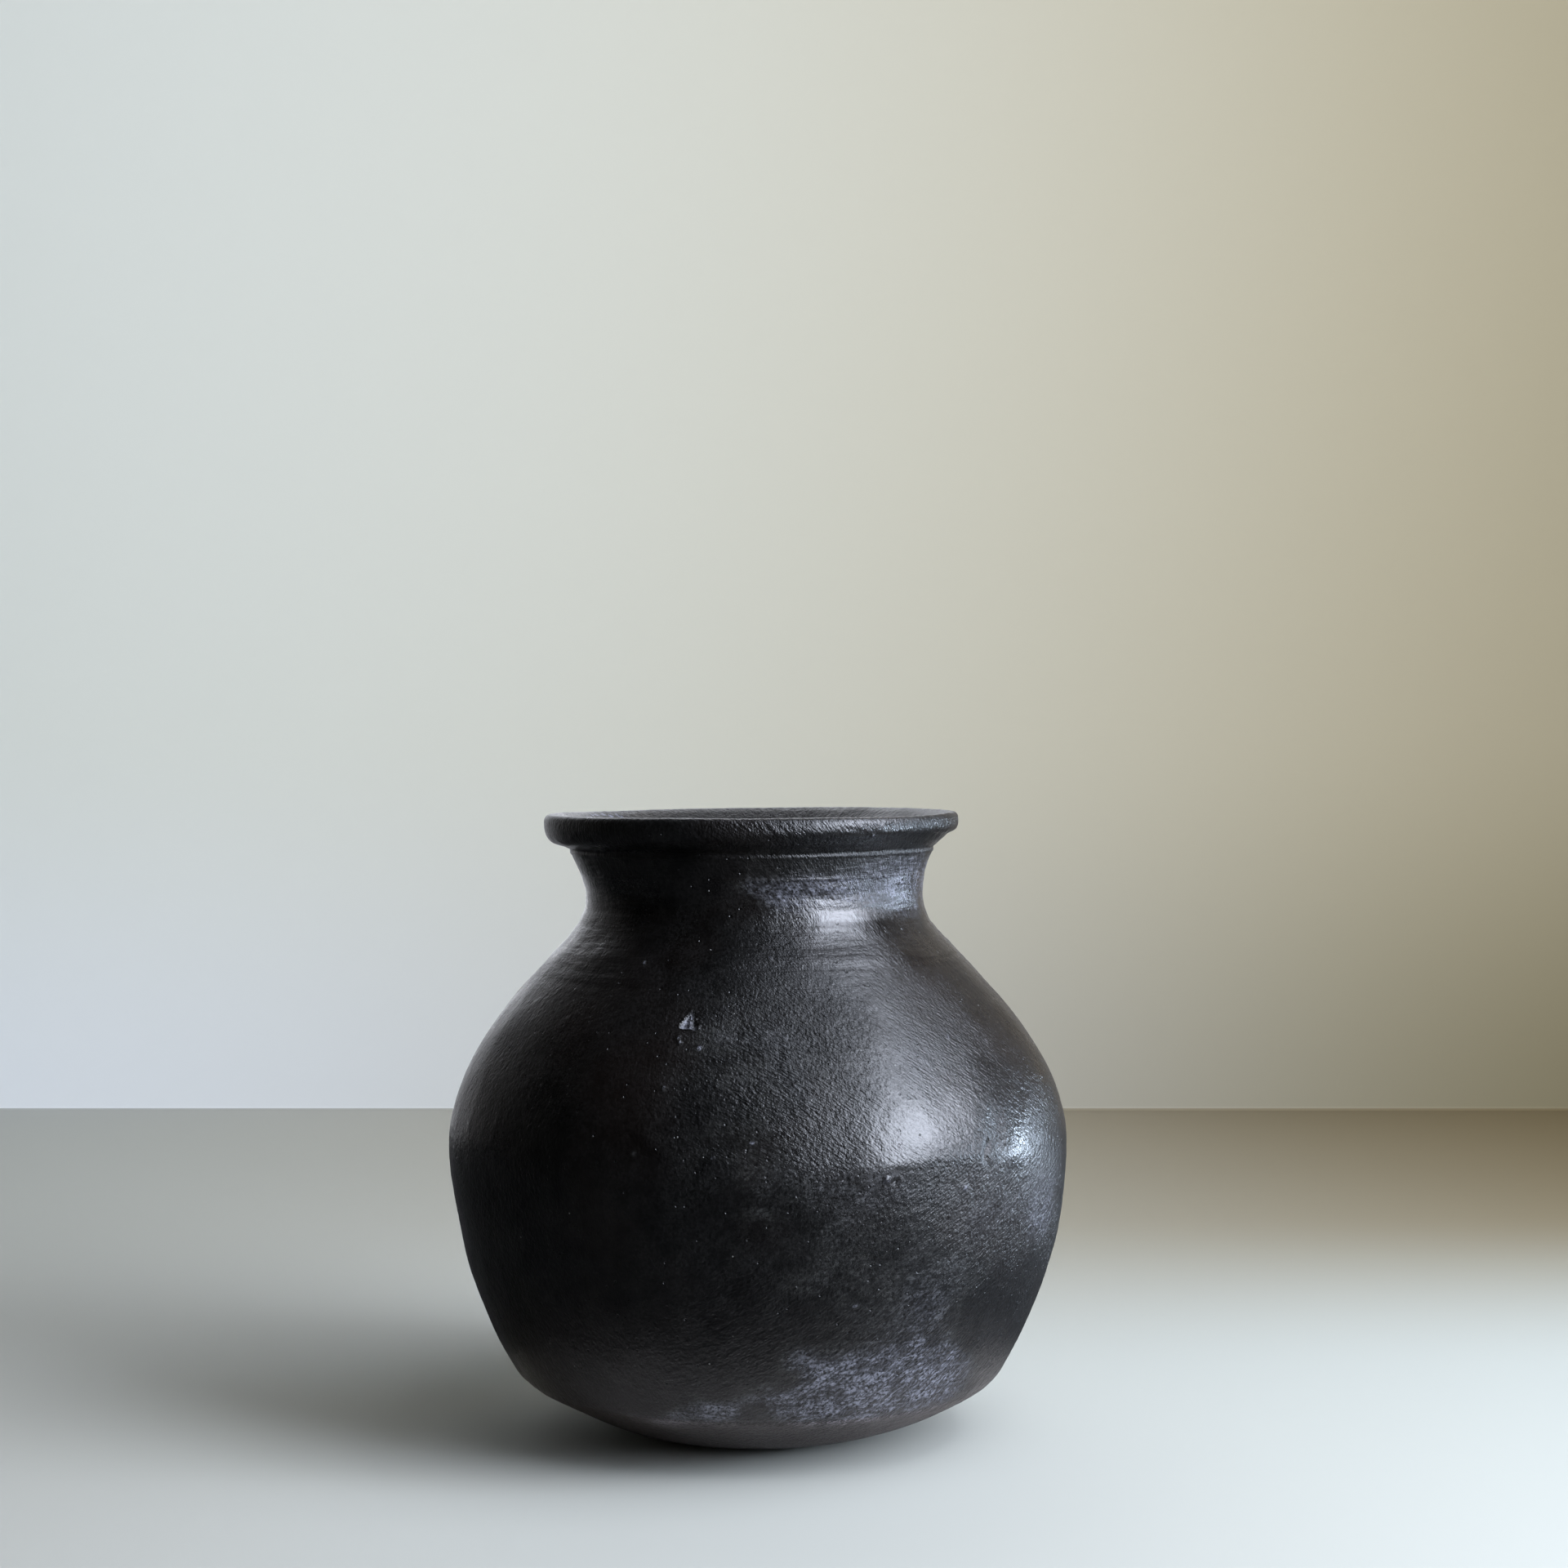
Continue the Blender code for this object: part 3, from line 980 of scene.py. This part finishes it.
def clay_colour(tree, at, tint):
    """Mottled black, browner in places, with dust and painted light, dark pits and pale specks over it, and a
    crust inside.
    """
    pepper = spread(tree, speckle(tree, at.place, PEPPER_SIZE, 2.0, 0.6), 0.38, 0.62)
    patchy = times(tree, spread(tree, at.mottle, 0.3, 0.65), add(tree, pepper, 0.25))
    black = mixed(tree, times(tree, at.brown, 0.7), mixed(tree, patchy, *BLACK), BROWN)
    colour = mixed(tree, at.dust_and_light_cover, black, mixed(tree, spread(tree, at.bloom, 0.1, 0.5), *DUST_AND_PAINTED_LIGHT_TONES))
    colour = mixed(tree, times(tree, at.pits, 0.85), colour, PIT)
    colour = mixed(tree, times(tree, at.salt, 0.7), colour, SALT)
    colour = mixed(tree, at.inside, colour, mixed(tree, spread(tree, at.mottle, 0.3, 0.7), *CRUST))
    shade = mixed(tree, 1.0, colour, (*tint, 1))
    shade.node.blend_type = "MULTIPLY"
    return shade


def clay_roughness(tree, at, polish):
    """Rough with dust and inside, and smoother with burnish."""
    fine = speckle(tree, at.place, FINE_SIZE, 2.0)
    rough = times(tree, maths(tree, "SUBTRACT", fine, 0.5), SPECKLED)
    rough = add(tree, rough, times(tree, at.burnish, BURNISHED * polish))
    rough = add(tree, rough, times(tree, add(tree, at.inside, at.dust_and_light_cover), DUSTY))
    return add(tree, rough, ROUGHNESS, clamp=True)


def clay_coat(tree, at, polish):
    """Share of the burnished gloss, which lies only on bare clay outside."""
    bare = times(tree, rest_of(tree, at.inside), rest_of(tree, at.dust_and_light_cover))
    return times(tree, times(tree, bare, scaled(tree, at.burnish, 0.35, 0.2)), polish)


def clay_bump(tree, at):
    """The finest relief: grain drawn along the strokes, level streaks round the neck, pits and specks."""
    strokes = times(tree, stroked(tree, at.wrap, at.upper, FINE_SIZE, 2.0, 0.6), at.facing)
    grain = speckle(tree, vector_maths(tree, "MULTIPLY", at.wrap, DRAWN), GRAIN_SIZE, 2.0, 0.6)
    grain = add(tree, strokes, times(tree, grain, 0.8))
    below_rim = times(tree, 0.45, spread(tree, at.up, *STREAKS_OUT))
    lines = times(tree, spread(tree, at.up, *STREAKS_IN), below_rim)
    grain = node(tree, "Mix", {0: lines, 2: grain, 3: times(tree, at.streaks, 1.6)}).outputs[0]
    peel = speckle(tree, at.place, PEEL_SIZE, 2.0)
    height = add(tree, times(tree, grain, 0.75), times(tree, peel, 0.25))
    height = maths(tree, "SUBTRACT", height, times(tree, at.pits, 0.6))
    height = add(tree, height, times(tree, at.salt, 0.5))
    strength = maths(tree, "SUBTRACT", 1.1, times(tree, at.burnish, 0.75))
    return node(tree, "Bump", {"Height": height, "Strength": strength, "Distance": BUMP_DEPTH}).outputs[0]


def clay_material(name, tint, polish):
    """Burnished black clay, tinted and rubbed as LOOKS says."""
    material = bpy.data.materials.new(name)
    material.use_nodes = True
    tree = material.node_tree
    shader = tree.nodes["Principled BSDF"].inputs
    at = Surface(tree)
    bump = clay_bump(tree, at)
    tree.links.new(clay_colour(tree, at, tint), shader["Base Color"])
    tree.links.new(clay_roughness(tree, at, polish), shader["Roughness"])
    tree.links.new(clay_coat(tree, at, polish), shader["Coat Weight"])
    tree.links.new(bump, shader["Normal"])
    tree.links.new(bump, shader["Coat Normal"])
    shader["IOR"].default_value = CLAY_IOR
    shader["Coat Roughness"].default_value = COAT_ROUGHNESS
    shader["Coat IOR"].default_value = CLAY_IOR
    return material


# ---------------------------------------------------------------- stage, light and camera

# The sweep: where its wall stands, the radius of the wall's foot, its height, its front edge and half width.
WALL_Y = 1.14
BEND = 0.004
WALL_HEIGHT = 3.2
FLOOR_FRONT = -6.0
HALF_WIDTH = 4.5

# Colours of the paper, each pair at the left and at the right. They hold painted light and shade: paler and
# cooler on the left, as the window lights it, and darker and warmer on the right and on the far floor there,
# where shade falls.
HIGH_WALL = ((0.90, 0.92, 0.83, 1), (0.46, 0.39, 0.24, 1))
LOW_WALL = ((0.97, 1.0, 1.0, 1), (0.31, 0.26, 0.135, 1))
NEAR_FLOOR = ((0.48, 0.48, 0.435, 1), (0.50, 0.53, 0.485, 1))
FAR_FLOOR = ((0.51, 0.52, 0.475, 1), (0.24, 0.18, 0.08, 1))

# Colours of the paper as the pot's sheen sees it, in place of the room that a real pot would mirror: the wall
# at the far left, behind the pot and at the right, and the floor near the pot, at the right and at the left.
WALL_SHEEN_LEFT = (0.33, 0.305, 0.28, 1)
WALL_SHEEN_BEHIND = (1.65, 1.6, 1.54, 1)
WALL_SHEEN_RIGHT = (0.36, 0.31, 0.24, 1)
FLOOR_SHEEN_NEAR = (0.60, 0.56, 0.52, 1)
FLOOR_SHEEN = ((0.10, 0.10, 0.10, 1), (0.02, 0.02, 0.02, 1))

# Distance of the tall window from the pot, to the right. None of its light falls behind it, so there the
# camera sees the paper glow like the surroundings.
WINDOW_X = 1.30
GLOW = 0.60
GLOW_COLOUR = (1.0, 1.017, 0.983, 1)

# Light of the windows, of the low streak of sky, and of the ceiling.
WINDOW_LIGHT = (0.80, 0.86, 1.0)
SKY_LIGHT = (0.68, 0.82, 1.0)
CEILING_LIGHT = (0.92, 0.95, 1.0)

# The surroundings: what the camera sees, and the fill's colour and its strengths for matte and glossy rays.
SEEN = (0.60, 0.61, 0.59, 1)
FILL = (1.0, 0.96, 0.90, 1)
MATTE_FILL = 0.06
GLOSSY_FILL = 0.008

# The camera: lens and sensor in millimetres, its place in metres, and how far it looks down in degrees.
LENS = 63.75
SENSOR = 36.0
CAMERA_PLACE = (0.0124, -1.360, 0.3373)
CAMERA_PITCH = 0.98


def paper_colour_with_painted_shade(tree, x, y, z, low):
    """Painted light and shade: cooler and paler to the left, and warmer and darker to the right, most on the
    far floor. low is 0 on the wall and 1 on the floor.
    """
    across = spread(tree, add(tree, x, times(tree, y, 0.25)), -0.7, 1.2)
    low_wall, high_wall = mixed(tree, across, *LOW_WALL), mixed(tree, across, *HIGH_WALL)
    wall = mixed(tree, spread(tree, z, 0.0, 0.36), low_wall, high_wall)
    near_floor, far_floor = mixed(tree, across, *NEAR_FLOOR), mixed(tree, across, *FAR_FLOOR)
    floor = mixed(tree, spread(tree, y, 0.10, 0.60), near_floor, far_floor)
    return mixed(tree, low, wall, floor)


def paper_sheen(tree, place, x, low):
    """What the pot's sheen sees of the paper."""
    distance = node(tree, "VectorMath", {0: place}, operation="LENGTH").outputs["Value"]
    far = mixed(tree, spread(tree, x, 0.60, 0.10), *FLOOR_SHEEN)
    floor = mixed(tree, spread(tree, distance, 0.12, 0.20), FLOOR_SHEEN_NEAR, far)
    wall = mixed(tree, spread(tree, x, -1.0, -0.3), WALL_SHEEN_LEFT, WALL_SHEEN_BEHIND)
    wall = mixed(tree, spread(tree, x, 0.0, 0.5), wall, WALL_SHEEN_RIGHT)
    return mixed(tree, low, wall, floor)


def sweep_material():
    """Pale matte paper, with painted light and shade, a glow towards the window's side and beyond it for the
    camera only, and other colours for the pot's sheen.
    """
    material = bpy.data.materials.new("pale_sweep")
    material.use_nodes = True
    tree = material.node_tree
    shader = tree.nodes["Principled BSDF"].inputs
    path = node(tree, "LightPath").outputs
    place = node(tree, "NewGeometry").outputs["Position"]
    x, y, z = node(tree, "SeparateXYZ", {0: place}).outputs
    low = maths(tree, "LESS_THAN", z, 0.002)
    paper = paper_colour_with_painted_shade(tree, x, y, z, low)
    paper = mixed(tree, path["Is Glossy Ray"], paper, paper_sheen(tree, place, x, low))
    tree.links.new(paper, shader["Base Color"])
    shader["Roughness"].default_value = 0.75
    glow = times(tree, spread(tree, x, WINDOW_X - 0.55, WINDOW_X), GLOW)
    tree.links.new(times(tree, glow, path["Is Camera Ray"]), shader["Emission Strength"])
    shader["Emission Color"].default_value = GLOW_COLOUR
    return material


def sweep():
    """Floor and backdrop, in one sheet with a rounded foot."""
    line = [(FLOOR_FRONT, 0.0)]
    for i in range(9):
        angle = math.radians(-90 + 90 * i / 8)
        line.append((WALL_Y - BEND + BEND * math.cos(angle), BEND + BEND * math.sin(angle)))
    line.append((WALL_Y, WALL_HEIGHT))
    points = [(x, y, z) for y, z in line for x in (-HALF_WIDTH, HALF_WIDTH)]
    faces = [(2 * i, 2 * i + 1, 2 * i + 3, 2 * i + 2) for i in range(len(line) - 1)]
    mesh = bpy.data.meshes.new("sweep")
    mesh.from_pydata(points, [], faces)
    mesh.materials.append(sweep_material())
    mesh.shade_smooth()
    mesh.set_sharp_from_angle(angle=math.radians(30))
    made = bpy.data.objects.new("sweep", mesh)
    bpy.context.scene.collection.objects.link(made)


def window(name, position, target, size, strength, colour, spread_angle=180.0, mirrored=True):
    """A soft rectangular light, brightest low in its middle and fading towards its edges."""
    data = bpy.data.lights.new(name, "AREA")
    data.shape = "RECTANGLE"
    data.size, data.size_y = size
    data.energy = strength * size[0] * size[1] * math.pi
    data.color = colour
    data.spread = math.radians(spread_angle)
    data.use_nodes = True
    tree = data.node_tree
    u, v = node(tree, "SeparateXYZ", {0: node(tree, "NewGeometry").outputs["Parametric"]}).outputs[:2]
    sides = spread(tree, times(tree, u, rest_of(tree, u)), -0.03, 0.14)
    rise = times(tree, spread(tree, v, 0.0, 0.12), rest_of(tree, v))
    tree.links.new(times(tree, sides, rise), tree.nodes["Emission"].inputs["Strength"])
    made = bpy.data.objects.new(name, data)
    made.location = position
    made.rotation_euler = (Vector(position) - Vector(target)).to_track_quat("Z", "Y").to_euler()
    made.visible_camera = False
    made.visible_glossy = mirrored
    bpy.context.scene.collection.objects.link(made)


def lights():
    """Soft windows on the right, a low streak of sky, and a ceiling that only lights what is matte."""
    window("tall_window", (WINDOW_X, -0.85, 1.42), (0.0, -0.85, 1.42), (1.30, 2.5), 22.0, WINDOW_LIGHT)
    window("high_window", (0.62, -0.10, 1.58), (0.0, 0.0, 0.2), (0.8, 1.2), 8.5, WINDOW_LIGHT)
    window("low_window", (1.35, 0.30, 0.17), (0.0, 0.0, 0.16), (0.66, 0.11), 15.0, SKY_LIGHT, 60.0)
    window("ceiling", (0.6, -0.5, 2.40), (0.0, 0.4, 0.0), (2.0, 2.0), 2.4, CEILING_LIGHT, mirrored=False)


def surroundings():
    """Pale to the camera, dim in the pot's sheen, and a soft fill for everything matte."""
    world = bpy.data.worlds.new("studio")
    world.use_nodes = True
    tree = world.node_tree
    tree.nodes.clear()
    path = node(tree, "LightPath")
    seen = node(tree, "Background", {"Color": SEEN, "Strength": 1.0})
    fill = node(tree, "Background", {"Color": FILL, "Strength": MATTE_FILL})
    dim = node(tree, "Background", {"Color": FILL, "Strength": GLOSSY_FILL})
    soft = node(tree, "MixShader", {0: path.outputs["Is Diffuse Ray"], 1: dim.outputs[0], 2: fill.outputs[0]})
    both = node(tree, "MixShader", {0: path.outputs["Is Camera Ray"], 1: soft.outputs[0], 2: seen.outputs[0]})
    tree.links.new(both.outputs[0], node(tree, "OutputWorld").inputs["Surface"])
    bpy.context.scene.world = world


def camera():
    data = bpy.data.cameras.new("camera")
    data.lens = LENS
    data.sensor_width = SENSOR
    made = bpy.data.objects.new("camera", data)
    made.location = CAMERA_PLACE
    made.rotation_euler = (math.radians(90 - CAMERA_PITCH), 0, 0)
    bpy.context.scene.collection.objects.link(made)
    bpy.context.scene.camera = made


build_rim(*build_wall_members())
sweep()
lights()
surroundings()
camera()
bpy.context.scene.view_settings.view_transform = "Standard"
